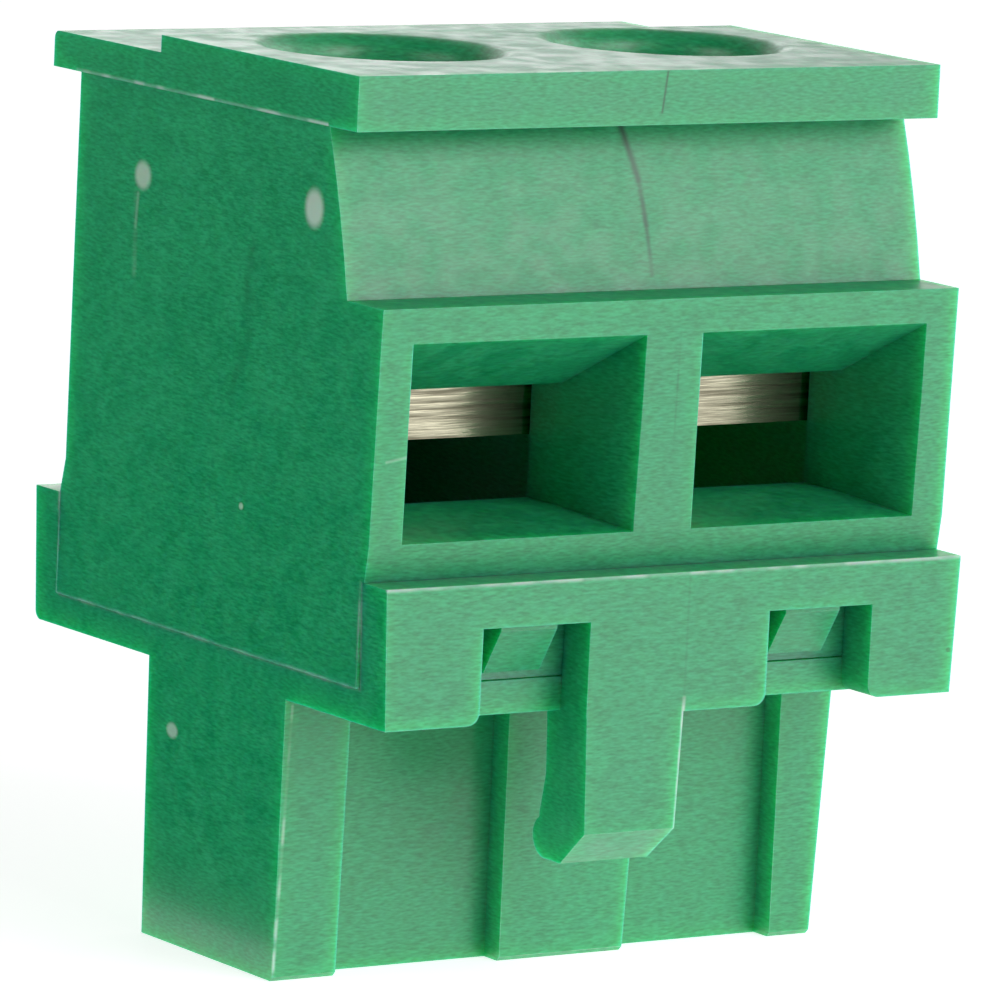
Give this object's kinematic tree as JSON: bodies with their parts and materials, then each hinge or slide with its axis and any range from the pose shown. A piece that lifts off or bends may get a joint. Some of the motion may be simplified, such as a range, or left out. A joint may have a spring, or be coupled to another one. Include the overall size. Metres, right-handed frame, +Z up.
{
  "type": "pluggable pcb screw terminal",
  "caption": "Green plug-in screw terminal: wires enter framed windows, lift cages clamp them as screws turn, a keyed nose plugs onto pins.",
  "frame": {"origin": "middle of the bounding box at the tip of the nose", "axes": "+X along the row to the right as the wire windows are faced, +Y from the wire windows to the back, +Z up to the screw heads"},
  "size_m": [0.0104, 0.01, 0.0137],
  "materials": {
    "housing_plastic": "satin moulded polyamide",
    "shroud_plastic": "satin moulded polyamide",
    "zinc_steel": "zinc plated",
    "nickel_steel": "nickel plated",
    "tinned_copper": "tin plated"
  },
  "bodies": {
    "plug": {"clamp_housing": "housing_plastic", "plug_shroud": "shroud_plastic", "socket_contact_left": "tinned_copper", "socket_contact_right": "tinned_copper"},
    "screw_left": {"clamp_screw_left": "zinc_steel"},
    "screw_right": {"clamp_screw_right": "zinc_steel"},
    "cage_left": {"lift_cage_left": "nickel_steel"},
    "cage_right": {"lift_cage_right": "nickel_steel"}
  },
  "joints": [
    {"name": "screw_left_turn", "type": "hinge", "parent": "plug", "child": "screw_left", "pos_m": [-0.00254, -0.0002, 0.012], "axis": [0, 0, 1], "range_deg": [0, 1440]},
    {"name": "cage_left_drop", "type": "slide", "parent": "plug", "child": "cage_left", "axis": [0, 0, -1], "range_m": [0, 0.0018]},
    {"name": "screw_right_turn", "type": "hinge", "parent": "plug", "child": "screw_right", "pos_m": [0.00254, -0.0002, 0.012], "axis": [0, 0, 1], "range_deg": [0, 1440]},
    {"name": "cage_right_drop", "type": "slide", "parent": "plug", "child": "cage_right", "axis": [0, 0, -1], "range_m": [0, 0.0018]}
  ],
  "couplings": [
    {"joint": "screw_left_turn", "follows": "cage_left_drop", "rad_per_m": 13962},
    {"joint": "screw_right_turn", "follows": "cage_right_drop", "rad_per_m": 13962}
  ]
}
